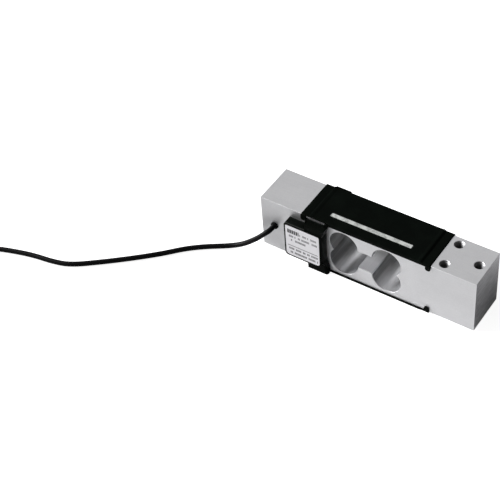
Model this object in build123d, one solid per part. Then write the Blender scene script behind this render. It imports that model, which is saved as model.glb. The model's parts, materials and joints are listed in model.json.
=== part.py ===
"""Single point load cell: an aluminium bending beam with a binocular hole, four strain
gauges under two moulded covers, a terminal housing on its side, and a signal cable.

Millimetres, +Z up.  +X runs along the beam from the fixed end to the load end, and the
housing is on the -Y side.  The origin is the middle of the lower cover's flat underside,
on which the cell rests.
"""
import os
from math import atan2, cos, degrees, hypot, pi, radians, sin, tan

from build123d import *

# Beam
beam_length = 150.0
beam_width = 30.0
beam_height = 40.0
beam_edge_break = 0.15

# Binocular hole: four round lobes and the slot that joins them
eye_radius = 10.0
eye_share = 0.1
thin_wall = 3.0
hole_edge_break = 0.3

# Tapped holes, three in a triangle at each end: above at the load end, below at the fixed end
tap_radius = 3.0
tap_depth = 15.0
tap_mouth = 0.3
pair_share = 0.16
pair_spacing = 18.5
single_from_end = 6.0
drill_point = 59.0

# Moulded covers over the gauged faces, the upper one with a rib across it near each end
cover_share = 0.6
cover_wall = 0.6
gauge_room = 0.4
cover_fit = 0.1
skirt_thickness = 0.5
top_skirt = 1.4
bottom_skirt = 0.7
band_length = 5.4
band_ramp = 1.4
rib_width = 1.0
rib_rise = 0.25
relief_rim = 1.5
cover_round = 0.35
cover_corner = 1.2
cover_step = 0.3
tab_length = 3.4
tab_drop = 4.1
tab_thickness = 0.75
tab_round = 1.3

# Slot in each cover, filled by a strip of sealing compound
slot_from_end = 16.8
slot_width = 3.2
slot_offset = 7.2
slot_round = 0.6
seal_sink = 0.2
seal_fit = 0.05

# Strain gauges and their flat leads
gauge_length = 8.0
gauge_width = 5.0
gauge_thickness = 0.1
gauge_grid_inset = 1.0
ribbon_width = 1.0
ribbon_thickness = 0.15
ribbon_gap = 1.0
ribbon_turn_gap = 2.2
ribbon_side_gap = 2.4
ribbon_inset = 4.2
wire_room = 0.35

# Terminal housing: a box for the board, and a collar that grips the covers' skirts
box_from_cable = 11.7
box_inset = 2.0
box_low = -13.15
box_high = 13.7
box_depth = 7.3
box_wall = 1.2
box_low_round = 2.6
box_top_round = 0.9
box_bevel = 0.4
cavity_round = 0.8
collar_from_eye = 0.3
collar_from_tab = 2.5
waist_inset = 1.6
foot_reach = 0.6
waist_low = -9.0
waist_high = 12.5
collar_top_gap = 1.8
collar_foot = 0.8
collar_depth = 6.5
lip_depth = 3.9
lip_slope = 4.0
collar_round = 0.8
lip_round = 1.6
arm_width = 2.4
arm_depth = 1.3
shoulder_depth = 1.3
gasket_thickness = 0.4

# Housing screws, under the label
screw_radius = 1.25
screw_grip = 6.0
screw_mouth = 0.1
screw_clearance = 0.2
screw_head_radius = 2.25
screw_head_height = 1.3
screw_recess = 0.3
screw_inset = 3.4
screw_wall = 2.15
boss_radius = 3.0
hex_radius = 0.85

# Label on the box, with the rims of the box that it leaves
label_thickness = 0.15
label_low_round = 2.0
label_top_round = 1.1
label_left_rim = 1.4
label_right_rim = 0.75
label_low_rim = 1.65
label_top_rim = 0.4

# Circuit board with its small parts
board_thickness = 1.0
board_gap = 0.4
board_stand = 2.6
post_radius = 1.3
post_pin_radius = 0.6
post_fit = 0.1
chip_length = 2.0
chip_width = 1.25
chip_height = 0.55
chip_pitch = 3.0
pad_radius = 0.75
pad_height = 0.35
pad_pitch = 2.0
pad_beyond_passage = 2.0
chip_gap = 3.5

# Strap on the rear face, opposite the collar
strap_left_inset = 1.1
strap_right_inset = 1.7
strap_depth = 1.5
strap_rise = 0.5
strap_round = 0.8

# Cable entry
cable_diameter = 3.4
cable_from_end = 9.5
bush_radius = 2.6
bush_depth = 4.5
bush_stand = 1.2
bush_fit = 0.05
passage_radius = 2.0
passage_depth = 10.0
passage_reach = 16.5
inner_cable_end = 5.5
core_diameter = 0.7
core_pitch = 0.8

# Cable route on the floor, from the bush to the coil
floor_gap = 0.05
cable_rest = cable_diameter / 2 + floor_gap
cable_straight = 4.4
cable_way = [
    (-68.3, -23.4, 18.9),
    (-71.8, -25.0, 15.3),
    (-76.5, -26.2, 11.2),
    (-81.7, -27.0, 6.8),
    (-88.0, -28.2, 3.2),
    (-95.3, -31.8, 1.9),
    (-105.7, -38.2, cable_rest),
    (-115.8, -46.3, cable_rest),
    (-125.1, -56.5, cable_rest),
    (-138.6, -68.9, cable_rest),
    (-154.5, -82.2, cable_rest),
    (-171.3, -95.0, cable_rest),
    (-183.8, -98.4, cable_rest),
    (-197.2, -100.1, cable_rest),
    (-209.5, -103.3, cable_rest),
    (-222.1, -107.4, cable_rest),
    (-235.3, -114.0, cable_rest),
    (-246.5, -121.4, 2.1),
]

# Neat coil of the length that is put away
coil_centre = (-262.0, -104.5)
coil_mean_radius = 18.7
coil_columns = 3
coil_layers = 2
coil_round = 1.6

# Tie round the coil
tie_thickness = 0.4
tie_width = 5.0
tie_angle = 120.0

# Free end: sleeve, cores and tinned tips
tail_route = [
    (-284.6, -106.6, 5.5),
    (-286.3, -101.2, 5.2),
    (-288.6, -96.0, 3.9),
    (-291.5, -91.2, 2.6),
    (-295.0, -86.9, 2.15),
    (-299.2, -83.2, 2.15),
]
sleeve_radius = 2.1
sleeve_length = 8.0
lead_diameter = 1.1
lead_length = 22.0
lead_spread = 9.0
lead_ring = 1.3
lead_count = 5
lead_bow = 0.6
lead_lift = 0.3
tip_diameter = 0.7
tip_length = 5.0

# Worked out from the sizes above, with z measured from the middle of the beam
stand = cover_wall + gauge_room
axis_z = stand + beam_height / 2
half_length = beam_length / 2
half_width = beam_width / 2
half_height = beam_height / 2
eye_offset = eye_share * beam_length
eye_rise = half_height - thin_wall - eye_radius
pair_x = half_length - pair_share * beam_length
cover_length = cover_share * beam_length
slot_length = cover_length - 2 * slot_from_end
skirt_outside = half_width + cover_fit + skirt_thickness
cable_x = -half_length + cable_from_end
cable_exit = -half_width - bush_stand
collar_left = -cover_length / 2 + tab_length + collar_from_tab
collar_right = -eye_offset - eye_radius - collar_from_eye
collar_waist = collar_right - waist_inset
collar_foot_right = collar_right + foot_reach
box_left = cable_x + box_from_cable
box_right = collar_right - box_inset
housing_back = half_width + gasket_thickness
box_front = half_width + box_depth
cavity_front = box_front - box_wall
collar_top = half_height - collar_top_gap
collar_bottom = -half_height - collar_foot
arm_left = collar_right - arm_width
ribbon_x = collar_right - arm_width / 2
ribbon_turn_x = -slot_length / 2 - ribbon_turn_gap
ribbon_front_y = -slot_offset - slot_width / 2 - ribbon_side_gap
ribbon_end_x = ribbon_x - ribbon_inset
board_front = cavity_front - board_stand
board_back = board_front - board_thickness
strap_left = collar_left + strap_left_inset
strap_right = collar_right - strap_right_inset
box_middle = ((box_left + box_right) / 2, (box_low + box_high) / 2)
leads_drop = half_height - min(box_high, -box_low) + box_wall + ribbon_gap
beside_tap_x = -pair_x + tap_radius + screw_wall + screw_radius
screw_places = [(box_left + screw_inset, box_high - screw_inset), (beside_tap_x, box_low + screw_inset)]
cable_start = [(cable_x, cable_exit, axis_z), (cable_x, cable_exit - cable_straight, axis_z)]
cable_route = cable_start + cable_way


def block(x, y, z):
    """A box between the lowest and highest value on each axis."""
    middle = [(low + high) / 2 for low, high in (x, y, z)]
    return Pos(*middle) * Box(x[1] - x[0], y[1] - y[0], z[1] - z[0])


def across(outline, near, far):
    """An outline drawn in X and Z, made solid from y = -far to y = -near."""
    return extrude(Plane((0, -near, 0), x_dir=(1, 0, 0), z_dir=(0, -1, 0)) * outline, far - near)


def rod(radius, x, z, near, far):
    """A round rod along Y from y = -far to y = -near."""
    return across(Pos(x, z) * Circle(radius), near, far)


def blind_hole(radius, depth, mouth):
    """A drilled hole with a chamfered mouth at the origin, going down."""
    tip = depth + radius / tan(radians(drill_point))
    outline = [(0, 0), (radius + mouth, 0), (radius, -mouth), (radius, -depth), (0, -tip), (0, 0)]
    return revolve(Plane.XZ * make_face(Polyline(*outline)), Axis.Z)


def tap_places(end):
    """The three tapped holes of one end, +1 for the load end and -1 for the fixed end."""
    single_x = half_length - single_from_end
    return [(end * pair_x, -pair_spacing / 2), (end * pair_x, pair_spacing / 2), (end * single_x, 0.0)]


def make_beam():
    beam = Box(beam_length, beam_width, beam_height)
    beam = chamfer(beam.edges(), beam_edge_break)
    eyes = Rectangle(2 * eye_offset, 2 * eye_rise)
    for x in (-eye_offset, eye_offset):
        for z in (-eye_rise, eye_rise):
            eyes += Pos(x, z) * Circle(eye_radius)
    beam -= across(eyes, -half_width, half_width)
    mouths = [wire.edges() for face in beam.faces().filter_by(Axis.Y) for wire in face.inner_wires()]
    beam = chamfer([edge for mouth in mouths for edge in mouth], hole_edge_break)
    for x, y in tap_places(1):
        beam -= Pos(x, y, half_height) * blind_hole(tap_radius, tap_depth, tap_mouth)
    for x, y in tap_places(-1):
        beam -= Pos(x, y, -half_height) * Rot(180, 0, 0) * blind_hole(tap_radius, tap_depth, tap_mouth)
    for x, z in screw_places:
        grip_hole = blind_hole(screw_radius, screw_grip + screw_clearance, screw_mouth)
        beam -= Pos(x, -half_width, z) * Rot(90, 0, 0) * grip_hole
    strap_hole = blind_hole(screw_radius, screw_grip + screw_clearance, screw_mouth)
    beam -= Pos((strap_left + strap_right) / 2, half_width, 0) * Rot(-90, 0, 0) * strap_hole
    beam -= rod(bush_radius, cable_x, 0, half_width - bush_depth, half_width + 1)
    beam -= rod(passage_radius, cable_x, 0, half_width - passage_depth, half_width)
    return beam - crossing_passage()


def crossing_passage():
    """Slanted drilling from under the box to the bottom of the cable's hole."""
    deep = Vector(cable_x, -half_width + passage_depth - passage_radius, 0)
    shallow = Vector(cable_x + passage_reach, -half_width, 0)
    run = shallow - deep
    beyond = shallow + run.normalized() * passage_radius
    start = Plane(deep, x_dir=(0, 0, 1), z_dir=(run.X, run.Y, run.Z))
    return extrude(start * Circle(passage_radius), (beyond - deep).length)


def make_cover(skirt_depth, rise):
    """One cover, seated with its inner face at z = 0, and the rise of the two ribs across it."""
    half = cover_length / 2
    crown = cover_wall + gauge_room
    foot = half - band_length
    rib_out = foot - band_ramp
    rib_in = rib_out - rib_width
    field = rib_in - band_ramp
    right = [(half, -skirt_depth), (half, cover_wall), (foot, cover_wall), (rib_out, crown + rise),
             (rib_in, crown + rise), (field, crown)]
    left = [(-x, z) for x, z in reversed(right)]
    cover = across(make_face(Polyline(*right, *left, right[0])), -skirt_outside, skirt_outside)
    cover = fillet(cover.edges().filter_by(Axis.Z), cover_corner)
    outline = cover.edges().filter_by(lambda edge: edge.center().Z > 0)
    outline = outline.filter_by(lambda edge: abs(edge.center().Y) > half_width - cover_corner
                                or abs(edge.center().X) > half - cover_round)
    cover = chamfer(outline, cover_round)
    inner_half = half_width + cover_fit
    cover -= block((-half, half), (-inner_half, inner_half), (-skirt_depth, 0))
    relief_x = field - relief_rim
    relief_y = half_width - relief_rim
    cover -= block((-relief_x, relief_x), (-relief_y, relief_y), (0, gauge_room))
    slot = Pos(0, -slot_offset) * RectangleRounded(slot_length, slot_width, slot_round)
    cover -= extrude(slot, crown)
    over_collar = (-half + tab_length, collar_right + cover_fit)
    cover -= block(over_collar, (-skirt_outside, -inner_half), (-skirt_depth, 0))
    beside_arm = (-half + tab_length, arm_left)
    cover -= block(beside_arm, (-skirt_outside, -skirt_outside + cover_step), (-skirt_depth, crown + rise))
    groove_half = ribbon_width / 2 + wire_room
    groove_x = (ribbon_x - groove_half, ribbon_x + groove_half)
    cover -= block(groove_x, (-half_width - wire_room, -relief_y), (0, gauge_room))
    return cover + make_tabs()


def make_tabs():
    """The four rounded tabs at the corners of a cover."""
    half = cover_length / 2
    tabs = None
    for end in (-1, 1):
        outline = Pos(end * (half - tab_length / 2), -tab_drop / 2) * Rectangle(tab_length, tab_drop)
        lower = outline.vertices().group_by(Axis.Y)[0]
        outline = fillet(lower, tab_round)
        near = half_width + cover_fit
        front = across(outline, near, near + tab_thickness)
        pair = front + mirror(front, Plane.XZ)
        tabs = pair if tabs is None else tabs + pair
    return tabs


def make_seal():
    strip = RectangleRounded(slot_length - 2 * seal_fit, slot_width - 2 * seal_fit, slot_round - seal_fit)
    return extrude(Pos(0, -slot_offset) * strip, stand - seal_sink)


def make_gauge(x):
    """A foil gauge: its film, with the narrower grid standing on it."""
    film = Pos(x, 0) * RectangleRounded(gauge_length, gauge_width, gauge_grid_inset / 2)
    grid = Pos(x, 0) * Rectangle(gauge_length - 2 * gauge_grid_inset, gauge_width - 2 * gauge_grid_inset)
    return extrude(film, gauge_thickness) + extrude(grid, 1.5 * gauge_thickness)


def flat_path(points, width):
    """A flat strip of constant width along points in a plane."""
    strip = None
    for (x0, y0), (x1, y1) in zip(points, points[1:]):
        turned = Rot(0, 0, degrees(atan2(y1 - y0, x1 - x0)))
        run = Rectangle(hypot(x1 - x0, y1 - y0), width)
        piece = Pos((x0 + x1) / 2, (y0 + y1) / 2) * turned * run
        strip = piece if strip is None else strip + piece
        strip += Pos(x1, y1) * Circle(width / 2)
    return strip


def side_path():
    """The leads' way down the beam's front face, from the edge that they come over."""
    return [(ribbon_x, 0), (ribbon_x, -collar_top_gap), (ribbon_end_x, -collar_top_gap - ribbon_inset),
            (ribbon_end_x, -leads_drop)]


def make_ribbon():
    """The flat leads of both gauges of one face, seated with that face at z = 0."""
    leads_y = gauge_width / 2 + ribbon_gap + ribbon_width / 2
    main = [(eye_offset, leads_y), (ribbon_turn_x, leads_y), (ribbon_turn_x, ribbon_front_y),
            (ribbon_x, ribbon_front_y), (ribbon_x, -half_width)]
    plan = flat_path(main, ribbon_width)
    for x in (-eye_offset, eye_offset):
        plan += Pos(x, leads_y / 2 + gauge_width / 4) * Rectangle(ribbon_width, leads_y - gauge_width / 2)
    ribbon = extrude(plan, ribbon_thickness)
    ribbon = ribbon & block((-half_length, half_length), (-half_width, half_width), (0, ribbon_thickness))
    corner = block((ribbon_x - ribbon_width / 2, ribbon_x + ribbon_width / 2),
                   (-half_width - ribbon_thickness, -half_width), (-ribbon_width / 2, ribbon_thickness))
    down = across(flat_path(side_path(), ribbon_width), half_width, half_width + ribbon_thickness)
    down -= block((-half_length, 0), (-half_width - 1, -half_width), (0, 1))
    end_z = -leads_drop
    tongue = block((ribbon_end_x - ribbon_width / 2, ribbon_end_x + ribbon_width / 2),
                   (-board_back, -half_width), (end_z, end_z + ribbon_thickness))
    return ribbon + corner + down + tongue


def lead_channel():
    """Room for the leads between the housing and the beam, for the upper face."""
    width = ribbon_width + 2 * wire_room
    path = flat_path(side_path(), width)
    channel = across(path, half_width - 1, housing_back + wire_room)
    above = block((ribbon_x - width / 2, ribbon_x + width / 2), (-housing_back - wire_room, -half_width + 1),
                  (-collar_top_gap, stand))
    return Pos(0, 0, half_height) * (channel + above)


def both_channels():
    upper = lead_channel()
    return upper + mirror(upper, Plane.XY)


def upright_outline(x, z, low_round, top_round):
    """A rectangle in X and Z, with one radius for its lower corners and one for its upper ones."""
    outline = Pos((x[0] + x[1]) / 2, (z[0] + z[1]) / 2) * Rectangle(x[1] - x[0], z[1] - z[0])
    outline = fillet(outline.vertices().group_by(Axis.Y)[0], low_round)
    return fillet(outline.vertices().group_by(Axis.Y)[-1], top_round)


def box_outline():
    return upright_outline((box_left, box_right), (box_low, box_high), box_low_round, box_top_round)


def cavity_outline():
    width = box_right - box_left - 2 * box_wall
    height = box_high - box_low - 2 * box_wall
    return Pos(*box_middle) * RectangleRounded(width, height, cavity_round)


def collar_outline():
    points = [(collar_left, collar_bottom), (collar_foot_right, collar_bottom), (collar_waist, waist_low),
              (collar_waist, waist_high), (collar_right, collar_top), (collar_left, collar_top)]
    return make_face(Polyline(*points, points[0]))


def shoulder_outline():
    """The thin plate above the box, from the upper cover's tab to the collar."""
    left = -cover_length / 2 + tab_length + cover_fit
    low = box_high - box_wall
    middle = Pos((left + collar_left) / 2, (low + collar_top) / 2)
    return middle * Rectangle(collar_left - left, collar_top - low)


def make_collar():
    """The collar: a shallow lip below, and a deep block that slopes back to it."""
    right = collar_foot_right + 1
    deep = across(collar_outline(), housing_back, half_width + collar_depth)
    front = deep.faces().sort_by(Axis.Y)[0].edges()
    rounded = front.filter_by(lambda edge: edge.center().X > collar_waist - 1
                              or edge.center().Z > collar_top - cover_fit)
    deep = fillet(rounded, collar_round)
    lip = half_width + lip_depth
    slope = [(-lip, box_low), (-half_width - collar_depth, box_low + lip_slope), (-2 * half_width, box_low),
             (-2 * half_width, collar_bottom), (-lip, collar_bottom), (-lip, box_low)]
    cut = extrude(Plane.YZ.offset(collar_left) * make_face(Polyline(*slope)), right - collar_left)
    collar = deep - cut
    foot = collar.edges().filter_by(lambda edge: edge.center().X > collar_waist and edge.center().Z < box_low)
    foot = foot.filter_by(lambda edge: abs(edge.center().Y + lip) < cover_fit and edge.length > lip_slope)
    return fillet(foot, lip_round)


def make_housing():
    box = across(box_outline(), housing_back, box_front)
    rim = box.faces().sort_by(Axis.Y)[0].edges()
    box = chamfer(rim, box_bevel)
    arm_x = (arm_left, collar_right)
    arm_top = half_height - cover_fit
    arm = block(arm_x, (-housing_back - arm_depth, -housing_back), (collar_top - collar_round, arm_top))
    arm += block(arm_x, (-housing_back, -half_width - cover_fit), (collar_top, arm_top))
    shoulder = across(shoulder_outline(), housing_back, housing_back + shoulder_depth)
    housing = box + make_collar() + arm + shoulder
    housing -= across(cavity_outline(), housing_back, cavity_front)
    housing -= both_channels()
    housing -= skirt_rebate()
    for x, z in screw_places:
        boss = rod(boss_radius, x, z, housing_back, cavity_front)
        housing += boss & across(box_outline(), housing_back, cavity_front)
        housing -= rod(screw_radius + screw_clearance, x, z, housing_back, box_front)
        seat_depth = screw_head_height + screw_recess
        housing -= rod(screw_head_radius + screw_clearance, x, z, box_front - seat_depth, box_front)
    for x, z in post_places():
        housing += rod(post_radius, x, z, board_front, cavity_front)
        housing += rod(post_pin_radius, x, z, board_back - post_fit, board_front)
    inside_box = block((box_left, box_right), (-cavity_front, -half_width), (box_low, box_high))
    return housing - (crossing_passage() & inside_box)


def skirt_rebate():
    """Room behind the collar's lip for the lower cover's skirt."""
    skirt_top = -half_height + bottom_skirt + cover_fit
    return block((collar_left - 1, collar_foot_right + 1), (-skirt_outside - cover_fit, -half_width),
                 (collar_bottom - 1, skirt_top))


def make_gasket():
    """Foam gasket between the housing and the beam."""
    gasket = across(box_outline() + collar_outline() + shoulder_outline(), half_width, housing_back)
    gasket -= across(cavity_outline(), half_width, housing_back)
    gasket -= both_channels()
    for x, z in screw_places:
        boss = rod(boss_radius, x, z, half_width, housing_back)
        gasket += boss & across(box_outline(), half_width, housing_back)
        gasket -= rod(screw_radius + screw_clearance, x, z, half_width, housing_back)
    return gasket - skirt_rebate()


def make_screw(under_head):
    """A socket screw with the top of its head at the origin, going down."""
    head = extrude(Circle(screw_head_radius), -screw_head_height)
    shank = extrude(Circle(screw_radius), -screw_head_height - under_head - screw_grip)
    socket = extrude(RegularPolygon(hex_radius, 6), -screw_head_height / 2)
    return head + shank - socket


def housing_screws():
    under_head = box_depth - screw_head_height - screw_recess
    screws = [Pos(x, -box_front + screw_recess, z) * Rot(90, 0, 0) * make_screw(under_head)
              for x, z in screw_places]
    return Compound(children=screws)


def post_places():
    inset = box_wall + board_gap + post_radius
    return [(box_left + inset, box_middle[1]), (box_right - inset, box_middle[1])]


def board_outline():
    width = box_right - box_left - 2 * (box_wall + board_gap)
    height = box_high - box_low - 2 * (box_wall + board_gap)
    outline = Pos(*box_middle) * Rectangle(width, height)
    for x, z in screw_places:
        outline -= Pos(x, z) * Circle(boss_radius + board_gap)
    for x, z in post_places():
        outline -= Pos(x, z) * Circle(post_pin_radius + post_fit)
    return outline


def make_board():
    return across(board_outline(), board_back, board_front)


def chip_places():
    """Trim resistors in two columns on the board's inner face."""
    first_x = pad_x() + chip_gap
    return [(first_x + column * chip_pitch, box_middle[1] + row * chip_pitch)
            for column in (0, 1) for row in (-1, 0, 1)]


def make_chips():
    chips = []
    for x, z in chip_places():
        outline = Pos(x, z) * Rectangle(chip_length, chip_width)
        chips.append(across(outline, board_back - chip_height, board_back))
    return Compound(children=chips)


def pad_x():
    return cable_x + passage_reach + pad_beyond_passage


def pad_places():
    """Solder pads of the cable's four cores."""
    return [(pad_x(), box_middle[1] + (row - 1.5) * pad_pitch) for row in range(4)]


def make_solder():
    """A domed joint on each pad, and one on each ribbon's end."""
    domes = []
    ribbon_end_z = half_height - leads_drop - pad_radius
    places = pad_places() + [(ribbon_end_x, ribbon_end_z), (ribbon_end_x, -ribbon_end_z)]
    for x, z in places:
        dome = rod(pad_radius, x, z, board_back - pad_height, board_back)
        tip = dome.faces().sort_by(Axis.Y)[-1].edges()
        domes.append(chamfer(tip, pad_height / 2))
    return Compound(children=domes)


def make_label():
    x = (box_left + label_left_rim, box_right - label_right_rim)
    z = (box_low + label_low_rim, box_high - label_top_rim)
    outline = upright_outline(x, z, label_low_round, label_top_round)
    return across(outline, box_front, box_front + label_thickness)


def make_strap():
    """The rear strap, rebated at both ends for the skirts of the covers."""
    high = half_height + stand + strap_rise
    low = -half_height - collar_foot
    strap = block((strap_left, strap_right), (half_width, half_width + strap_depth), (low, high))
    outer = strap.faces().sort_by(Axis.Y)[-1].edges()
    strap = chamfer(outer, strap_round)
    rebate_depth = skirt_outside + cover_fit
    for z in ((low, -half_height + bottom_skirt + cover_fit), (half_height - top_skirt - cover_fit, high)):
        strap -= block((strap_left, strap_right), (half_width, rebate_depth), z)
    x = (strap_left + strap_right) / 2
    strap -= rod(screw_radius + screw_clearance, x, 0, -half_width - strap_depth, -half_width)
    return strap


def strap_screw():
    x = (strap_left + strap_right) / 2
    return Pos(x, half_width + strap_depth + screw_head_height, 0) * Rot(-90, 0, 0) * make_screw(strap_depth)


def make_bush():
    """Rubber bush in the beam, round the cable."""
    bore = cable_diameter / 2 + bush_fit
    front = half_width + bush_stand
    bush = rod(bush_radius, cable_x, 0, half_width - bush_depth, front)
    bush = fillet(bush.faces().sort_by(Axis.Y)[0].edges(), bush_stand / 2)
    return bush - rod(bore, cable_x, 0, half_width - bush_depth, front)


def make_inner_cable():
    """The jacket's end inside the beam."""
    return rod(cable_diameter / 2, cable_x, 0, half_width - inner_cable_end, half_width + bush_stand)


def make_inner_cores():
    """The four cores from the jacket's end, through the slanted passage, to their pads."""
    cores = []
    turn_y = -half_width + passage_depth - passage_radius
    solder_y = -board_back + pad_height + core_diameter / 2
    for row, (x, pad_z) in enumerate(pad_places()):
        z = (row - 1.5) * core_pitch
        line = Polyline((cable_x, -half_width + inner_cable_end, z), (cable_x, turn_y, z),
                        (cable_x + passage_reach, -half_width, z), (x, solder_y, pad_z))
        core = sweep(Plane(line @ 0, z_dir=line % 0) * Circle(core_diameter / 2), line,
                     transition=Transition.RIGHT)
        cores.append(core)
    return Compound(children=cores)


def corner_radii(points):
    """The largest arc that the two runs at each corner leave room for."""
    radii = []
    for before, corner, after in zip(points, points[1:], points[2:]):
        first = Vector(*corner) - Vector(*before)
        second = Vector(*after) - Vector(*corner)
        half_turn = radians(first.get_angle(second)) / 2
        radii.append(0.45 * min(first.length, second.length) / tan(half_turn))
    return radii


def tube(name, points, diameter):
    """A round tube along straight runs joined by tangent arcs."""
    radii = corner_radii(points)
    path = FilletPolyline(*points, radius=radii)
    start = Plane(path @ 0, z_dir=path % 0)
    solid = sweep(start * Circle(diameter / 2), path)
    section = pi * diameter ** 2 / 4
    print(name, "length", round(path.length, 1), "radii", [round(radius, 1) for radius in radii],
          "volume over section x length", round(solid.volume / (section * path.length), 4))
    return solid


def coil_section():
    """The coil's section, seated on the tie that passes under it."""
    width = coil_columns * cable_diameter
    height = coil_layers * cable_diameter
    return Pos(coil_mean_radius, tie_thickness + height / 2) * RectangleRounded(width, height, coil_round)


def make_coil():
    return Pos(*coil_centre) * revolve(Plane.XZ * coil_section(), Axis.Z)


def make_tie():
    """A band round the coil's section."""
    width = coil_columns * cable_diameter
    height = coil_layers * cable_diameter
    middle = Pos(coil_mean_radius, tie_thickness + height / 2)
    outer = middle * RectangleRounded(width + 2 * tie_thickness, height + 2 * tie_thickness, coil_round)
    around = extrude(Plane.XZ * outer, tie_width / 2, both=True)
    turned = Pos(*coil_centre) * Rot(0, 0, tie_angle) * around
    return turned - make_coil()


def tail_end():
    """The end of the jacket and the direction that it points in."""
    last = Vector(*tail_route[-1])
    return last, (last - Vector(*tail_route[-2])).normalized()


def make_sleeve():
    end, along = tail_end()
    place = Plane((end.X, end.Y, end.Z), z_dir=(along.X, along.Y, along.Z))
    return extrude(place * Circle(sleeve_radius), sleeve_length)


def lead_paths():
    """Five leads that fan out from the sleeve and come down to the floor."""
    end, along = tail_end()
    start = end + along * sleeve_length
    level = Vector(along.X, along.Y, 0).normalized()
    aside = Vector(-level.Y, level.X, 0)
    paths = []
    for number in range(lead_count):
        angle = pi / 2 + 2 * pi * number / lead_count
        root = start + aside * (lead_ring * cos(angle)) + Vector(0, 0, lead_ring * sin(angle))
        near = root + level * (lead_length / 6)
        fan = aside * (lead_spread * cos(angle))
        middle = start + level * (lead_length / 2) + fan * lead_bow
        far = start + level * lead_length + fan
        low = lead_diameter / 2 + floor_gap
        paths.append([(root.X, root.Y, root.Z), (near.X, near.Y, near.Z),
                      (middle.X, middle.Y, low + lead_lift), (far.X, far.Y, low)])
    return paths


def make_tips():
    """The bare tinned end of each lead."""
    tips = []
    for points in lead_paths():
        end = Vector(*points[-1])
        along = end - Vector(*points[-2])
        place = Plane((end.X, end.Y, end.Z), z_dir=(along.X, along.Y, along.Z))
        tips.append(extrude(place * Circle(tip_diameter / 2), tip_length))
    return Compound(children=tips)


# Pieces that are modelled about the middle of the beam
top_cover = make_cover(top_skirt, rib_rise)
bottom_cover = make_cover(bottom_skirt, 0)
seal_piece = make_seal()
ribbon_piece = make_ribbon()
on_upper_face = Pos(0, 0, half_height)
about_beam = {
    "beam": make_beam(),
    "top_cover": on_upper_face * top_cover,
    "bottom_cover": mirror(on_upper_face * bottom_cover, Plane.XY),
    "top_seal_strip": on_upper_face * seal_piece,
    "bottom_seal_strip": mirror(on_upper_face * seal_piece, Plane.XY),
    "top_gauge_ribbon": on_upper_face * ribbon_piece,
    "bottom_gauge_ribbon": mirror(on_upper_face * ribbon_piece, Plane.XY),
    "terminal_housing": make_housing(),
    "housing_gasket": make_gasket(),
    "housing_screws": housing_screws(),
    "circuit_board": make_board(),
    "trim_resistors": make_chips(),
    "solder_joints": make_solder(),
    "label": make_label(),
    "rear_strap": make_strap(),
    "strap_screw": strap_screw(),
    "cable_bush": make_bush(),
    "inner_cable": make_inner_cable(),
    "inner_cores": make_inner_cores(),
}
for side, sign in (("load_end", 1), ("fixed_end", -1)):
    gauge = on_upper_face * make_gauge(sign * eye_offset)
    about_beam["top_gauge_" + side] = gauge
    about_beam["bottom_gauge_" + side] = mirror(gauge, Plane.XY)

# Cable pieces that lie on the floor
coil = make_coil()
on_floor = {
    "cable_run": tube("cable_run", cable_route, cable_diameter) - coil,
    "cable_coil": coil,
    "coil_tie": make_tie(),
    "cable_tail": tube("cable_tail", tail_route, cable_diameter) - coil,
    "lead_sleeve": make_sleeve(),
    "lead_tips": make_tips(),
}
for colour, points in zip(("red", "white", "green", "blue", "shield"), lead_paths()):
    on_floor["lead_" + colour] = tube("lead_" + colour, points, lead_diameter)

os.makedirs("parts", exist_ok=True)
for name, shape in about_beam.items():
    export_step(Pos(0, 0, axis_z) * shape, "parts/" + name + ".step")
for name, shape in on_floor.items():
    export_step(shape, "parts/" + name + ".step")
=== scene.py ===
# %% [markdown]
# # A single point load cell
# This lesson dresses a measured model of a weighing sensor for a studio picture.
# The sensor is an aluminium beam with a binocular hole, black moulded covers, a small terminal
# housing with a label, and a thin black cable that is put away in a coil.
# The model comes from a CAD program with every piece in its place, in metres.
# We add the camera, the cable's smooth line, the threads, the lights and the finishes.

# %% Load the model
import json
from math import cos, pi, radians, sin

import bpy
from mathutils import Matrix, Vector


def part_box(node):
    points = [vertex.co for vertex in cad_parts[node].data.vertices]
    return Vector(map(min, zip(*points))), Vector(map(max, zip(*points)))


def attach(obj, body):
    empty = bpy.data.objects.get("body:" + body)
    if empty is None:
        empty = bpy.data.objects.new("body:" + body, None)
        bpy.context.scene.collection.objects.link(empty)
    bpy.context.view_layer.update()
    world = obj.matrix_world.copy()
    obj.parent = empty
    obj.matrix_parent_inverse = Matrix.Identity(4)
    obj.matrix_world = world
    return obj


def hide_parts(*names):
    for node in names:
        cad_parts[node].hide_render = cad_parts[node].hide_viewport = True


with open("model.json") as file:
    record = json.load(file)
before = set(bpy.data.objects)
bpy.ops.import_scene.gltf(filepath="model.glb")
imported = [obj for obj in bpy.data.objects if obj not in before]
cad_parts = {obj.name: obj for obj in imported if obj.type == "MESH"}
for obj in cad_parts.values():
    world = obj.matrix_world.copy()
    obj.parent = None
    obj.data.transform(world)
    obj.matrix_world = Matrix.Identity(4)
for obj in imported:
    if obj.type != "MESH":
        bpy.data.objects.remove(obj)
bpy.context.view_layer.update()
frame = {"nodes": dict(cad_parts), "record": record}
print("pieces in the model:", len(frame["nodes"]))

# %% [markdown]
# The camera stands where the photographer stood. Its place was worked out from the beam's seven
# visible corners. Two unit vectors say which way the picture's right and up sides point, and
# their cross product points back at the photographer.

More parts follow.
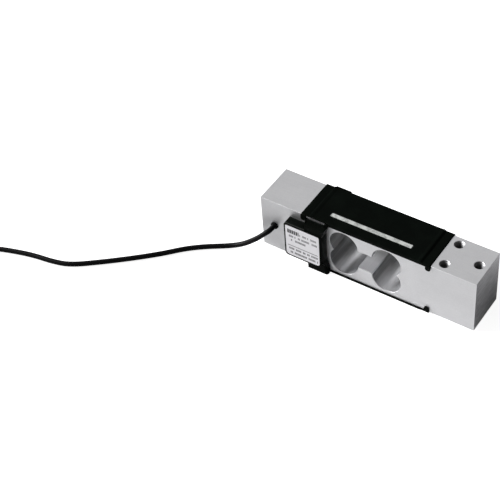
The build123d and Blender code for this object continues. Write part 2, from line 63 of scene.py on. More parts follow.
# %% The camera
view_right = Vector((0.8304, 0.5532, -0.0656))
view_up = Vector((-0.3564, 0.6181, 0.7007))
view_back = view_right.cross(view_up)
lens = bpy.data.cameras.new("photo_camera")
lens.sensor_width = 36.0
lens.lens = 102.44
lens.clip_end = 20.0
camera_place = (0.31101, -0.53408, 0.64798)
camera = bpy.data.objects.new("photo_camera", lens)
turned = Matrix((view_right, view_up, view_back)).transposed().to_4x4()
camera.matrix_world = Matrix.Translation(camera_place) @ turned
bpy.context.scene.collection.objects.link(camera)
bpy.context.scene.camera = camera
print("camera", round((camera.location - Vector((0, 0, 0.02))).length, 3), "m from the beam")

# %% [markdown]
# The cable leaves the beam straight, falls to the floor and wanders out of the picture. There
# the rest of it is wound into a coil with a tie round it. A jacketed cable has no corners, so
# its line is one NURBS spline: the points below pull it, and it never has to pass through them.
# The coil has two layers of three rings, a little over five turns in all. It starts at the
# outside of the lower layer, works inwards, climbs to the upper layer and works outwards again.
# Each step from ring to ring takes about a third of a turn. The points lie a little outside the
# ring's radius, because the line stays inside them.

# %% The cable's route
cable_diameter = 0.0034
cable_exit = (-0.0655, -0.0162, 0.021)
floor_route = [
    cable_exit,
    (-0.0655, -0.0206, 0.021),
    (-0.0683, -0.0234, 0.0189),
    (-0.0718, -0.0250, 0.0153),
    (-0.0765, -0.0262, 0.0112),
    (-0.0817, -0.0270, 0.0068),
    (-0.0880, -0.0282, 0.0032),
    (-0.0953, -0.0318, 0.0019),
    (-0.1057, -0.0382, 0.00175),
    (-0.1158, -0.0463, 0.00175),
    (-0.1251, -0.0565, 0.00175),
    (-0.1386, -0.0689, 0.00175),
    (-0.1545, -0.0822, 0.00175),
    (-0.1713, -0.0950, 0.00175),
    (-0.1838, -0.0984, 0.00175),
    (-0.1972, -0.1001, 0.00175),
    (-0.2095, -0.1033, 0.00175),
    (-0.2221, -0.1074, 0.00175),
    (-0.2353, -0.1140, 0.00175),
    (-0.2465, -0.1214, 0.0021),
]
tail_route = [
    (-0.2846, -0.1066, 0.0055),
    (-0.2863, -0.1012, 0.0052),
    (-0.2886, -0.0960, 0.0039),
    (-0.2915, -0.0912, 0.0026),
    (-0.2950, -0.0869, 0.00215),
    (-0.2992, -0.0832, 0.00215),
]
print("points on the floor:", len(floor_route), "and in the tail:", len(tail_route))


# %% The coil's turns
def eased(value, start, end):
    """Goes smoothly from 0 to 1 as the value goes from start to end."""
    share = min(max((value - start) / (end - start), 0.0), 1.0)
    return share * share * (3.0 - 2.0 * share)


coil_x, coil_y = (-0.262, -0.1045)
outer_turn = 0.0221
lower_layer = 0.0021
points_per_turn = 14
coil_turns = 5.283
start_angle = radians(300.0)
first_step_in, second_step_in = (0.85, 1.15), (1.85, 2.15)
climb = (2.5, 2.8)
first_step_out, second_step_out = (3.2, 3.5), (4.2, 4.5)
coil_route = []
for number in range(round(coil_turns * points_per_turn) + 1):
    turn = number / points_per_turn
    inwards = eased(turn, *first_step_in) + eased(turn, *second_step_in)
    outwards = eased(turn, *first_step_out) + eased(turn, *second_step_out)
    radius = outer_turn + cable_diameter * (outwards - inwards)
    radius /= cos(pi / points_per_turn)
    angle = start_angle - 2.0 * pi * turn
    height = lower_layer + cable_diameter * eased(turn, *climb)
    coil_route.append((coil_x + radius * cos(angle), coil_y + radius * sin(angle), height))
print("points in the coil:", len(coil_route))

# %% The cable's curve
cable_line = bpy.data.curves.new("signal_cable", "CURVE")
cable_line.dimensions = "3D"
cable_line.bevel_depth = cable_diameter / 2.0
cable_line.bevel_resolution = 5
cable_line.resolution_u = 8
cable_line.use_fill_caps = True
spline = cable_line.splines.new("NURBS")
cable_points = floor_route + coil_route + tail_route
spline.points.add(len(cable_points) - 1)
for point, place in zip(spline.points, cable_points):
    point.co = (*place, 1.0)
spline.order_u = 3
spline.use_endpoint_u = True
cable = bpy.data.objects.new("signal_cable", cable_line)
bpy.context.scene.collection.objects.link(cable)
cable_length = spline.calc_length()
print("cable length", round(cable_length, 3), "m")

# %% [markdown]
# Finishes and grown shapes are small programs of nodes. Written as node calls they are long and
# hard to read, so we make helpers. `Value` holds one output socket and lets Python's own
# arithmetic add the Math nodes. `Nodes` owns a tree and adds every other node through one
# method: the node's type, then its settings, then what goes into its sockets.


# %% Arithmetic on sockets
class Value:
    """One output of a node, which can be used in a Python expression."""

    def __init__(self, owner, socket):
        self.owner = owner
        self.socket = socket

    def maths(self, operation, *values):
        """Adds a Math node and gives back its result."""
        node = self.owner.add("ShaderNodeMath", {"operation": operation}, dict(enumerate(values)))
        return node[0]

    def __add__(self, other):
        return self.maths("ADD", self, other)

    def __sub__(self, other):
        return self.maths("SUBTRACT", self, other)

    def __rsub__(self, other):
        return self.maths("SUBTRACT", other, self)

    def __mul__(self, other):
        return self.maths("MULTIPLY", self, other)

    def __truediv__(self, other):
        return self.maths("DIVIDE", self, other)

    def __gt__(self, other):
        return self.maths("GREATER_THAN", self, other)

    def __lt__(self, other):
        return self.maths("LESS_THAN", self, other)

    def __abs__(self):
        return self.maths("ABSOLUTE", self)

    def floor(self):
        return self.maths("FLOOR", self)

    def least(self, other):
        return self.maths("MINIMUM", self, other)

    def most(self, other):
        return self.maths("MAXIMUM", self, other)

    __radd__ = __add__
    __rmul__ = __mul__


class Outputs:
    """A node's outputs, by name or number."""

    def __init__(self, owner, node):
        self.owner = owner
        self.node = node

    def __getitem__(self, key):
        return Value(self.owner, found_socket(self.node.outputs, key))


def found_socket(sockets, key):
    """The socket with that number, identifier or name."""
    if isinstance(key, int):
        return sockets[key]
    for socket in sockets:
        if socket.identifier == key:
            return socket
    return next(socket for socket in sockets if socket.name == key and socket.enabled)


print("helpers for sockets are ready")


# %% A tree of nodes
class Nodes:
    """A node tree, with one way to add to it."""

    def __init__(self, tree):
        self.tree = tree

    def wire(self, node, sockets):
        """Sets a node's input sockets, or links them to other nodes' outputs."""
        for key, value in sockets.items():
            socket = found_socket(node.inputs, key)
            if isinstance(value, Value):
                self.tree.links.new(value.socket, socket)
            else:
                socket.default_value = value

    def add(self, kind, settings=None, sockets=None):
        """Adds a node and gives back its outputs."""
        node = self.tree.nodes.new(kind)
        for key, value in (settings or {}).items():
            if key == "stops":
                set_stops(node.color_ramp, value)
            else:
                setattr(node, key, value)
        self.wire(node, sockets or {})
        return Outputs(self, node)


def set_stops(ramp, stops):
    """Puts grey stops on a colour ramp."""
    while len(ramp.elements) < len(stops):
        ramp.elements.new(1.0)
    for element, (position, grey) in zip(ramp.elements, stops):
        element.position = position
        element.color = (grey, grey, grey, 1.0)


print("helpers for trees are ready")


# %% A material
class Finish(Nodes):
    """A material with one main shader."""

    def __init__(self, name, colour, roughness, **constants):
        self.material = bpy.data.materials.new(name)
        self.material.use_nodes = True
        super().__init__(self.material.node_tree)
        self.shader = next(node for node in self.tree.nodes if node.type == "BSDF_PRINCIPLED")
        self.material.diffuse_color = (*colour, 1.0)
        self.feed({"Base Color": (*colour, 1.0), "Roughness": roughness, **constants})

    def feed(self, sockets):
        """Sets or links sockets of the main shader."""
        self.wire(self.shader, sockets)

    def place(self):
        """Where a point of the surface is, in metres."""
        return self.add("ShaderNodeTexCoord")["Object"]

    def apart(self, vector):
        """A vector's three parts."""
        parts = self.add("ShaderNodeSeparateXYZ", sockets={"Vector": vector})
        return parts["X"], parts["Y"], parts["Z"]

    def stretched(self, vector, scale):
        """A vector scaled by another one."""
        return self.add("ShaderNodeMapping", sockets={"Vector": vector, "Scale": scale})["Vector"]

    def noise(self, vector, scale, detail, rough):
        sockets = {"Vector": vector, "Scale": scale, "Detail": detail, "Roughness": rough}
        return self.add("ShaderNodeTexNoise", sockets=sockets)["Fac"]

    def ramp(self, value, *stops):
        """A value sent through a grey ramp with these stops."""
        return self.add("ShaderNodeValToRGB", {"stops": stops}, {"Fac": value})["Color"]

    def mixed(self, factor, first, second):
        """From the first colour to the second as the factor goes from 0 to 1."""
        sockets = {"Factor_Float": factor, "A_Color": first, "B_Color": second}
        return self.add("ShaderNodeMix", {"data_type": "RGBA"}, sockets)["Result_Color"]

    def bump(self, height, distance):
        """Dents the surface. The distance in metres is how far a height of 1 stands out."""
        sockets = {"Height": height, "Distance": distance, "Strength": 1.0}
        self.feed({"Normal": self.add("ShaderNodeBump", sockets=sockets)["Normal"]})


def paint(finish, *nodes):
    """Gives the finish to pieces of the model."""
    for name in nodes:
        data = frame["nodes"][name].data
        data.materials.clear()
        data.materials.append(finish.material)
    print(finish.material.name, "on", ", ".join(nodes))


print("helpers for materials are ready")

# %% [markdown]
# The beam is milled from a bar of aluminium. Its faces are satin with faint lines along the bar,
# its ends carry the wider marks of the saw, and the binocular hole shows the cutter's path. All
# of that is a bump a few micrometres deep and a small change of tone and roughness, so the
# pattern is noise that is stretched along the direction of the tool. Comparisons with a point's
# place say which part of the beam it is on: each gives 1 where it holds and 0 where it doesn't,
# so a product of them means that all hold.

# %% The middle of the beam
beam_low, beam_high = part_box("beam")
middle_z = (beam_low.z + beam_high.z) / 2.0
half_height = beam_high.z - middle_z
print("middle of the beam", round(middle_z, 4), "m above the floor")

# %% The tools' marks
end_depth = 0.0002
eyes_reach, eyes_height, inside_margin = 0.0252, 0.0174, 0.0004
aluminium = Finish("milled_aluminium", (0.72, 0.72, 0.735), 0.42, Metallic=1.0)
place = aluminium.place()
along, across, up = aluminium.apart(place)
from_middle = abs(up - middle_z)
is_end = abs(along) > (beam_high.x - end_depth)
in_eyes = (abs(along) < eyes_reach) * (from_middle < eyes_height)
in_eyes = in_eyes * (abs(across) < beam_high.y - inside_margin)
bar_lines = aluminium.noise(aluminium.stretched(place, (60.0, 2600.0, 2600.0)), 1.0, 3.0, 0.6)
saw_lines = aluminium.noise(aluminium.stretched(place, (900.0, 160.0, 2400.0)), 1.0, 2.0, 0.5)
bore_lines = aluminium.noise(aluminium.stretched(place, (700.0, 9.0, 700.0)), 1.0, 4.0, 0.65)
cloud = aluminium.noise(place, 55.0, 4.0, 0.6)
speckle = aluminium.noise(place, 1500.0, 2.0, 0.6)
lines = bar_lines + is_end * (saw_lines - bar_lines) + in_eyes * (bore_lines - bar_lines)
print("marks of the bar, the saw and the cutter are ready")

# %% [markdown]
# The bare faces change their tone only a little, and the sawn ends are blotchy. The outer edges
# are broken, and a thin painted highlight runs where two faces meet. A point is on such an edge
# when it is close to two faces at once. Near the cable the painted edge line is darker, painted
# shade in place of the highlight.

# %% Bare faces
edge_break = 0.0003
cable_end = -0.045
tone = aluminium.ramp(
    cloud * 0.45 + speckle * 0.25 + bar_lines * 0.3, (0.35, 0.0), (0.65, 1.0))
bare = aluminium.mixed(tone, (0.7, 0.7, 0.715, 1.0), (0.8, 0.8, 0.815, 1.0))
blotchy = aluminium.ramp(
    saw_lines * 0.5 + speckle * 0.2 + cloud * 0.3, (0.38, 0.0), (0.62, 1.0))
sawn = aluminium.mixed(blotchy, (0.58, 0.58, 0.6, 1.0), (0.88, 0.88, 0.91, 1.0))
bare = aluminium.mixed(is_end, bare, sawn)
# Painted highlight: a lighter colour along the outer edges, and a darker line near the cable,
# painted shade.
near_edge_x = abs(along) > (beam_high.x - edge_break)
near_edge_y = abs(across) > (beam_high.y - edge_break)
near_edge_z = from_middle > (half_height - edge_break)
painted_edge_mask = (near_edge_x + near_edge_y + near_edge_z) > 1.5
painted_edge_tone = aluminium.mixed(
    along < cable_end, (0.93, 0.93, 0.95, 1.0), (0.64, 0.64, 0.655, 1.0))
print("bare faces are ready")

# %% [markdown]
# Inside the binocular hole the colour carries painted light and shade: the steep walls are painted
# in shade and the floor of the cut is painted light. The slot's floor has painted shade towards the
# back, the ridge where the left bore meets the slot is duller, and the broken edge round the hole's
# mouth is rougher and painted grey, a painted shade that dims its glint.

# %% Walls of the binocular hole
eye_offset, slot_end, slot_reach = 0.015, 0.0051, 0.0055
ridge_start, ridge_end = -0.013, -0.0048
mouth_depth, mouth_edge, mouth_height = 0.00032, 0.00002, 0.0176
right_half = (along > eye_offset) + (along > -eye_offset) * (along < slot_end)
height_share = from_middle / 0.01 - 0.7
# Painted light and shade: the floor of the cut and the whole right half painted light, the steep
# walls painted in shade, each with the cutter's streaks.
lit_floor_share = aluminium.ramp(height_share, (0.6, 0.0), (0.96, 1.0)).most(right_half)
streaks = aluminium.ramp(bore_lines, (0.35, 0.0), (0.7, 1.0))
painted_shade_walls = aluminium.mixed(streaks, (0.2, 0.2, 0.205, 1.0), (0.32, 0.32, 0.325, 1.0))
painted_lit_floor = aluminium.mixed(streaks, (0.86, 0.86, 0.88, 1.0), (0.96, 0.96, 0.98, 1.0))
# Painted shade: the slot's floor darker towards the back.
share_of_depth = (across + beam_high.y) / (2.0 * beam_high.y)
painted_shade_to_back = aluminium.ramp(share_of_depth, (0.3, 0.0), (0.6, 1.0))
slot_floor = (abs(along) < slot_reach) * (up < middle_z)
painted_lit_floor = aluminium.mixed(painted_shade_to_back * slot_floor, painted_lit_floor, (0.36, 0.36, 0.365, 1.0))
cut = aluminium.mixed(in_eyes, bare, aluminium.mixed(lit_floor_share, painted_shade_walls, painted_lit_floor))
dull_ridge = in_eyes * (along > ridge_start) * (along < ridge_end) * (up < middle_z)
# The mouth's edge is rougher, and its colour is painted grey, a painted shade that dims its glint.
mouth = (abs(across) > beam_high.y - mouth_depth) * (abs(across) < beam_high.y - mouth_edge)
mouth = mouth * (abs(along) < eyes_reach + edge_break) * (from_middle < mouth_height)
cut = aluminium.mixed(mouth, cut, (0.6, 0.6, 0.61, 1.0))
print("walls of the binocular hole are ready")

# %% [markdown]
# The tapped holes are painted darker too, with painted shade that deepens with depth. Their
# place is the last one that the beam's finish needs, so its colour, roughness and bump are put
# together here.

# %% Tapped holes and the finish
taps_start, taps_margin, shade_depth = 0.04, 0.001, 0.008
depth = half_height - from_middle
in_taps = (abs(along) > taps_start) * (abs(along) < beam_high.x - taps_margin)
in_taps = in_taps * (abs(across) < beam_high.y - taps_margin) * (depth > inside_margin)
painted_depth_shade = aluminium.ramp(depth / shade_depth, (0.25, 0.0), (1.0, 1.0))
# Painted shade: the tapped holes darker, and darker still with depth.
cut = aluminium.mixed(in_taps, cut, (0.4, 0.4, 0.405, 1.0))
cut = aluminium.mixed(in_taps * painted_depth_shade, cut, (0.02, 0.02, 0.021, 1.0))
dullness = 0.12 * lines + 0.08 * cloud - 0.02 * in_eyes + 0.2 * mouth + 0.25 * dull_ridge
aluminium.feed({
    "Base Color": aluminium.mixed(painted_edge_mask, cut, painted_edge_tone),
    "Roughness": 0.34 + dullness,
})
aluminium.bump(lines * 0.7 + speckle * 0.3, 0.00002)
paint(aluminium, "beam")

# %% [markdown]
# Six holes are tapped. A thread is one ridge that winds along the wall of its hole, so a
# Geometry Nodes tree winds a helix, sweeps the ridge's section along it, thins it out at both
# ends and sets a copy in each hole. The model's own mounts say where the holes are, how wide
# and how deep. The helix is reversed because screws of this kind turn to the right. The ridge's
# section has its x pointing away from the hole's axis: the foot lies a little inside the wall, so
# that no gap shows behind it, and the crest has a negative x.


# %% The thread's tree
def grown_tree(name, kinds):
    """A Geometry Nodes tree with named inputs, and each input's identifier."""
    tree = bpy.data.node_groups.new(name, "GeometryNodeTree")
    inputs = {}
    for key, kind in kinds.items():
        item = tree.interface.new_socket(key, in_out="INPUT", socket_type="NodeSocket" + kind)
        inputs[key] = item.identifier
    tree.interface.new_socket("Geometry", in_out="OUTPUT", socket_type="NodeSocketGeometry")
    return tree, inputs


thread_tree, thread_inputs = grown_tree("wound_thread", {
    "Geometry": "Geometry", "Turns": "Float", "Pitch": "Float", "Wall Radius": "Float",
    "Crest Radius": "Float", "Turned": "Vector", "Material": "Material",
})
winding = Nodes(thread_tree)
given = winding.add("NodeGroupInput")
pitch = given["Pitch"]
wall_radius = given["Wall Radius"]
helix = winding.add("GeometryNodeCurveSpiral", sockets={
    "Resolution": 36, "Rotations": given["Turns"], "Start Radius": wall_radius,
    "End Radius": wall_radius, "Height": given["Turns"] * pitch, "Reverse": True,
})
helix = winding.add("GeometryNodeSetCurveNormal", {"mode": "Z_UP"}, {"Curve": helix["Curve"]})
foot, crest = 0.03 * pitch, given["Crest Radius"] - wall_radius
section_corners = [(foot, 0.44), (crest, 0.13), (crest, -0.13), (foot, -0.44)]
points = {}
for number, (x, pitches) in enumerate(section_corners, 1):
    corner = winding.add("ShaderNodeCombineXYZ", sockets={"X": x, "Y": pitches * pitch})
    points[f"Point {number}"] = corner["Vector"]
section = winding.add("GeometryNodeCurvePrimitiveQuadrilateral", {"mode": "POINTS"}, points)
along_helix = winding.add("GeometryNodeSplineParameter")["Factor"]
from_end = along_helix.least(1.0 - along_helix) * given["Turns"]
thinned = (1.2 * from_end + 0.02).least(1.0)
ridge = winding.add("GeometryNodeCurveToMesh", sockets={
    "Curve": helix["Curve"], "Profile Curve": section["Curve"],
    "Scale": thinned, "Fill Caps": True,
})
placed = winding.add("GeometryNodeInstanceOnPoints", sockets={
    "Points": given["Geometry"], "Instance": ridge["Mesh"], "Rotation": given["Turned"],
})
placed = winding.add("GeometryNodeRealizeInstances", sockets={"Geometry": placed["Instances"]})
dressed = winding.add("GeometryNodeSetMaterial", sockets={
    "Geometry": placed["Geometry"], "Material": given["Material"],
})
winding.add("NodeGroupOutput", sockets={"Geometry": dressed["Geometry"]})
print("nodes in the thread's tree:", len(thread_tree.nodes))


# %% Threads in the holes
def grown(name, points, tree, inputs, values):
    """Runs a Geometry Nodes tree on some points and keeps the result as a plain mesh."""
    base = bpy.data.meshes.new(name)
    base.from_pydata(points, [], [])
    piece = bpy.data.objects.new(name, base)
    bpy.context.scene.collection.objects.link(piece)
    modifier = piece.modifiers.new(name, "NODES")
    modifier.node_group = tree
    for key, value in values.items():
        modifier[inputs[key]] = value
    graph = bpy.context.evaluated_depsgraph_get()
    mesh = bpy.data.meshes.new_from_object(piece.evaluated_get(graph), depsgraph=graph)
    piece.modifiers.clear()
    piece.data = mesh
    mesh.shade_smooth()
    mesh.set_sharp_from_angle(angle=radians(30.0))
    print(name, len(mesh.polygons), "faces")
    return piece


thread_pitch = 0.001
thread_depth = 0.00054
threads = []
mounts = frame["record"]["mounts"]
for end, turned in (("load", (pi, 0.0, 0.0)), ("fixed", (0.0, 0.0, 0.0))):
    holes = [mount for mount in mounts if mount["name"].startswith(end + "_hole")]
    hole_places = [hole["pos_m"] for hole in holes]
    hole_radius = holes[0]["dims"]["r_mm"] / 1000.0
    hole_depth = holes[0]["dims"]["length_mm"] / 1000.0
    threads.append(grown(end + "_end_threads", hole_places, thread_tree, thread_inputs, {
        "Turns": hole_depth / thread_pitch, "Pitch": thread_pitch,
        "Wall Radius": hole_radius, "Crest Radius": hole_radius - thread_depth,
        "Turned": turned, "Material": aluminium.material,
    }))

# %% [markdown]
# The covers and the terminal housing are black mouldings. The covers have the fine grain of a
# spark-eroded mould, the housing is smoother. Black plastic still has colour: it is a very dark
# green grey, lighter in patches where hands have rubbed it. A painted highlight, a thin lighter
# line, runs behind the bevel of the housing's upper front edge, just above the label.

# %% Black plastics
housing_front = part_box("terminal_housing")[0].y
label_low, label_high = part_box("label")
bevel = 0.0004


def moulded(name, grain, roughness, colour):
    """Black plastic with the grain of its mould and a painted highlight line above the label."""
    finish = Finish(name, colour, roughness, **{"Specular IOR Level": 0.025})
    place = finish.place()
    fine = finish.noise(place, grain, 3.0, 0.6)
    wide = finish.noise(place, 90.0, 3.0, 0.55)
    rubbed = finish.ramp(wide * 0.7 + fine * 0.3, (0.45, 0.0), (0.75, 1.0))
    lighter = tuple(2.2 * part for part in colour)
    across, up = finish.apart(place)[1:]
    # Painted highlight: a thin lighter line behind the bevel, just above the label.
    painted_bevel_highlight = (across > housing_front + 2.6 * bevel) * (across < housing_front + 3.8 * bevel)
    painted_bevel_highlight = painted_bevel_highlight * (up > label_high.z) * (up < label_high.z + 2.0 * bevel)
    moulding = finish.mixed(rubbed, (*colour, 1.0), (*lighter, 1.0))
    finish.feed({
        "Base Color": finish.mixed(painted_bevel_highlight, moulding, (0.05, 0.052, 0.05, 1.0)),
        "Roughness": roughness - 0.08 + 0.16 * wide,
    })
    finish.bump(fine, 0.00004)
    return finish


cover_plastic = moulded("cover_plastic", 2200.0, 0.5, (0.0014, 0.0023, 0.0016))
paint(cover_plastic, "top_cover", "bottom_cover")
housing_plastic = moulded("housing_plastic", 1200.0, 0.42, (0.0014, 0.0021, 0.0015))
paint(housing_plastic, "terminal_housing", "rear_strap")

# %% [markdown]
# The label is a white film with a printed form. Nothing on it can be read: each line of print is
# a row of small blocks, some inked and some not, as white noise decides from the block's number.
# Heights and widths are shares of the label, counted from its upper left corner.

# %% Label
label = Finish("label_film", (0.8, 0.79, 0.81), 0.4)
place = label.place()
along, _, up = label.apart(place)
from_left = (along - label_low.x) / (label_high.x - label_low.x)
from_top = (label_high.z - up) / (label_high.z - label_low.z)


def printed_row(height, half_row, start, end, block, share, strength, seed):
    """The ink of one row of blocks. A share of the blocks is inked, with gaps between them."""
    number = (from_left / block).floor()
    inside = from_left / block - number
    dice = label.add("ShaderNodeTexWhiteNoise", {"noise_dimensions": "1D"}, {"W": number + seed})
    on_row = abs(from_top - height) < half_row
    on_length = (from_left > start) * (from_left < end)
    return on_row * on_length * (dice["Value"] < share) * (inside < 0.78) * strength


# Each row: height, half its own height, start, end, block, share, strength and seed.
print_rows = [
    (0.17, 0.065, 0.05, 0.40, 0.062, 0.95, 1.0, 3.5),
    (0.19, 0.034, 0.42, 0.92, 0.030, 0.80, 0.75, 17.5),
    (0.33, 0.034, 0.08, 0.94, 0.034, 0.75, 0.8, 31.5),
    (0.46, 0.034, 0.15, 0.60, 0.040, 0.70, 0.85, 47.5),
    (0.66, 0.012, 0.06, 0.95, 1.500, 1.00, 0.8, 0.5),
    (0.76, 0.034, 0.09, 0.95, 0.042, 0.80, 0.85, 59.5),
    (0.89, 0.034, 0.09, 0.95, 0.042, 0.80, 0.85, 71.5),
]
ink = printed_row(*print_rows[0])
for row in print_rows[1:]:
    ink = ink.most(printed_row(*row))
worn = label.noise(place, 900.0, 3.0, 0.6)
ink = ink * (0.8 + 0.4 * worn)
label.feed({
    "Base Color": label.mixed(ink, (0.78, 0.77, 0.8, 1.0), (0.02, 0.02, 0.022, 1.0)),
    "Roughness": 0.35 + 0.12 * worn,
})
label.bump(worn, 0.00001)
paint(label, "label")

# %% [markdown]
# The slot in each cover is filled with a pale sealing compound, poured by hand. It dries with a
# lumpy skin that has darker blotches where dust has stuck to it.

# %% Sealing compound
seal = Finish("seal_compound", (0.5, 0.53, 0.5), 0.5)
place = seal.place()
lumps = seal.noise(place, 420.0, 4.0, 0.65)
blotches = seal.ramp(seal.noise(place, 260.0, 5.0, 0.7), (0.36, 0.0), (0.54, 1.0))
seal.feed({
    "Base Color": seal.mixed(blotches, (0.3, 0.31, 0.3, 1.0), (0.62, 0.64, 0.62, 1.0)),
    "Roughness": 0.3 + 0.35 * lumps,
})
seal.bump(lumps, 0.0004)
paint(seal, "top_seal_strip", "bottom_seal_strip")

# %% [markdown]
# The cable's jacket is black with a satin skin that has picked up a little dust. Rubbery plastic
# is dark because it swallows nearly all light, so the colour is close to black and the dull
# shine along its upper side does the work of showing that it is round.

# %% Cable jacket
jacket = Finish("cable_jacket", (0.004, 0.004, 0.0045), 0.38, **{"Specular IOR Level": 0.09})
place = jacket.place()
skin = jacket.noise(place, 1600.0, 3.0, 0.6)
dust = jacket.noise(place, 130.0, 4.0, 0.6)
jacket.feed({
    "Base Color": jacket.mixed(dust, (0.002, 0.002, 0.0022, 1.0), (0.006, 0.006, 0.0065, 1.0)),
    "Roughness": 0.3 + 0.2 * skin,
})
jacket.bump(skin, 0.00003)
cable_line.materials.append(jacket.material)
paint(jacket, "inner_cable", "lead_sleeve")

# %% [markdown]
# What is left is small or hidden: rubber, foam, screws, amber films, the board and its solder,
# and the coloured cores at the cable's end. Each gets a slight change of tone and a fine grain
# from one function, so that none of them looks like flat paint from close by. The flat leads
# are amber film, coated black where they come out from under the cover and run down the side.


# %% Small parts
def plain(name, colour, roughness, grain=900.0, grain_depth=0.00002, **constants):
    """A finish with a slight change of tone and a fine grain."""
    finish = Finish(name, colour, roughness, **constants)
    place = finish.place()
    fine = finish.noise(place, grain, 3.0, 0.6)
    wide = finish.noise(place, grain / 8.0, 2.0, 0.5)
    darker = tuple(0.8 * part for part in colour)
    finish.base = finish.mixed(wide, (*darker, 1.0), (*colour, 1.0))
    finish.feed({"Base Color": finish.base, "Roughness": roughness - 0.06 + 0.12 * fine})
    finish.bump(fine, grain_depth)
    return finish


paint(plain("bush_rubber", (0.002, 0.002, 0.002), 0.6, **{"Specular IOR Level": 0.1}), "cable_bush")
paint(plain("gasket_foam", (0.02, 0.02, 0.02), 0.9, 2500.0, 0.0001), "housing_gasket")
paint(plain("screw_steel", (0.5, 0.5, 0.52), 0.35, Metallic=1.0), "housing_screws", "strap_screw")
paint(plain("gauge_film", (0.55, 0.22, 0.03), 0.3), "top_gauge_load_end", "top_gauge_fixed_end",
      "bottom_gauge_load_end", "bottom_gauge_fixed_end")
ribbon = plain("ribbon_film", (0.5, 0.16, 0.02), 0.35)
coat_edge = beam_low.y + 0.001
coated = ribbon.apart(ribbon.place())[1] < coat_edge
ribbon.feed({"Base Color": ribbon.mixed(coated, ribbon.base, (0.003, 0.003, 0.003, 1.0))})
paint(ribbon, "top_gauge_ribbon", "bottom_gauge_ribbon")
paint(plain("board_laminate", (0.01, 0.12, 0.04), 0.3), "circuit_board")
paint(plain("chip_body", (0.02, 0.02, 0.022), 0.5), "trim_resistors")
paint(plain("solder", (0.6, 0.6, 0.6), 0.25, Metallic=1.0), "solder_joints")
paint(plain("tie_band", (0.008, 0.008, 0.008), 0.8, 2600.0, 0.0002), "coil_tie")
paint(plain("tinned_copper", (0.6, 0.58, 0.55), 0.4, 4000.0, 0.0001, Metallic=1.0), "lead_tips")
paint(plain("core_red", (0.45, 0.01, 0.01), 0.35), "lead_red")
paint(plain("core_white", (0.75, 0.74, 0.7), 0.35), "lead_white", "inner_cores")
paint(plain("core_green", (0.01, 0.22, 0.04), 0.35), "lead_green")
paint(plain("core_blue", (0.01, 0.05, 0.35), 0.35), "lead_blue")
paint(plain("core_shield", (0.5, 0.48, 0.44), 0.45, 3000.0, 0.0002, Metallic=1.0), "lead_shield")

# %% [markdown]
# The floor is plain and pale. Seen by the camera it is white, as in the photograph, with only
# the soft shadow left; light that bounces meets an ordinary pale surface. The picture's white
# comes from the floor's own emission and not from stronger lamps, so the colours stay true.
# Satin metal is a mirror that is a little blurred, and the beam's standing faces mirror the
# floor. So the floor carries painted shadow: a soft dark patch beside the load end, and painted
# shade that makes the floor to the left a shade darker; the beam mirrors both.

# %% Floor
floor_data = bpy.data.meshes.new("floor")
half_floor = 4.0
floor_z = -0.0001
square = ((-1, -1), (1, -1), (1, 1), (-1, 1))
corners = [(half_floor * x, half_floor * y, floor_z) for x, y in square]
floor_data.from_pydata(corners, [], [(0, 1, 2, 3)])
floor = bpy.data.objects.new("floor", floor_data)
bpy.context.scene.collection.objects.link(floor)
paper = Finish("studio_floor", (0.8, 0.8, 0.8), 0.9, **{"Specular IOR Level": 0.0})
along, across = paper.apart(paper.place())[:2]
# Painted shadow: a soft dark patch beside the load end. Painted shade: the floor darker to the
# left.
shadow_x, shadow_y, shadow_radius = 0.078, 0.024, 0.04
from_shadow_x = along / shadow_radius - shadow_x / shadow_radius
from_shadow_y = across / shadow_radius - shadow_y / shadow_radius
from_shadow = from_shadow_x * from_shadow_x + from_shadow_y * from_shadow_y
painted_shadow = paper.ramp(1.0 - from_shadow, (0.0, 0.0), (1.0, 1.0))
painted_shade_leftwards = paper.ramp(along / -0.1, (0.1, 0.0), (0.9, 1.0))
pale = paper.mixed(painted_shade_leftwards, (0.8, 0.8, 0.8, 1.0), (0.6, 0.6, 0.6, 1.0))
rays = paper.add("ShaderNodeLightPath")
seen = rays["Is Camera Ray"].most(rays["Is Transmission Ray"])
paper.feed({
    "Base Color": paper.mixed(painted_shadow, pale, (0.08, 0.08, 0.08, 1.0)),
    "Emission Color": 0.92 * seen + 0.05 * rays["Is Glossy Ray"],
    "Emission Strength": 1.0,
})
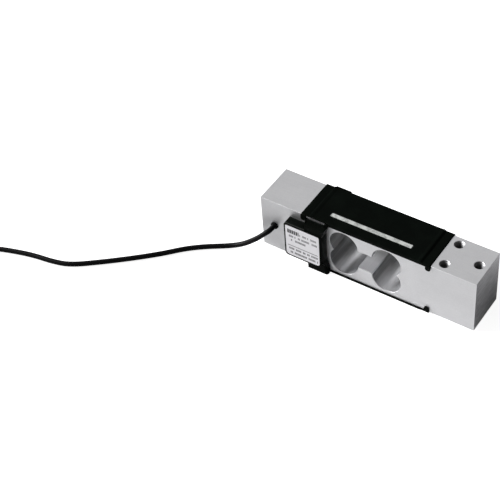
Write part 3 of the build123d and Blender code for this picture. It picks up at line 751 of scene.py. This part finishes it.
floor_data.materials.append(paper.material)
print("floor laid")

# %% [markdown]
# A pale room gives a little light from all round. The wide key lamp at the left lights the front
# and puts the shadow on the right. A soft box above the left end reaches into the tapped holes
# and the slot. A third, at the rear, stands where the beam's upper face mirrors it for the
# camera, so that this face is pale too. The world is white only where the camera sees it.

# %% Room and lamps
room = bpy.data.worlds.new("pale_room")
bpy.context.scene.world = room
room.use_nodes = True
surface = next(node for node in room.node_tree.nodes if node.type == "BACKGROUND")
air = Nodes(room.node_tree)
camera_ray = air.add("ShaderNodeLightPath")["Is Camera Ray"]
air.wire(surface, {"Color": (1.0, 1.0, 1.0, 1.0), "Strength": 0.08 + 0.92 * camera_ray})


def soft_lamp(name, distance, direction, size, power):
    """A round soft lamp that shines on the middle of the beam."""
    target = Vector((0.0, 0.0, middle_z))
    lamp_place = target + distance * Vector(direction)
    lamp_data = bpy.data.lights.new(name, "AREA")
    lamp_data.shape = "DISK"
    lamp_data.size = size
    lamp_data.energy = power
    lamp = bpy.data.objects.new(name, lamp_data)
    turned = (target - lamp_place).to_track_quat("-Z", "Y").to_matrix().to_4x4()
    lamp.matrix_world = Matrix.Translation(lamp_place) @ turned
    bpy.context.scene.collection.objects.link(lamp)


soft_lamp("key_lamp", 2.0, (-0.85, -0.3, 0.43), 1.2, 60.0)
soft_lamp("left_softbox", 1.5, (-0.55, -0.15, 0.82), 0.8, 5.0)
soft_lamp("rear_softbox", 1.3, (-0.276, 0.624, 0.732), 0.9, 1.6)
bpy.context.scene.view_settings.view_transform = "Standard"
print("room and lamps are lit")

# %% [markdown]
# Last, the model's own cable pieces are hidden, and the cable's curve and the threads are told
# what they ride on. The parts on the cable's far end are gathered in a list.

# %% Attach the new pieces
lead_colours = ("red", "white", "green", "blue", "shield")
cable_parts = ["coil_tie", "lead_sleeve", "lead_tips"]
cable_parts += ["lead_" + colour for colour in lead_colours]
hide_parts("cable_run", "cable_coil", "cable_tail")
for piece in [cable, *threads]:
    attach(piece, "root")
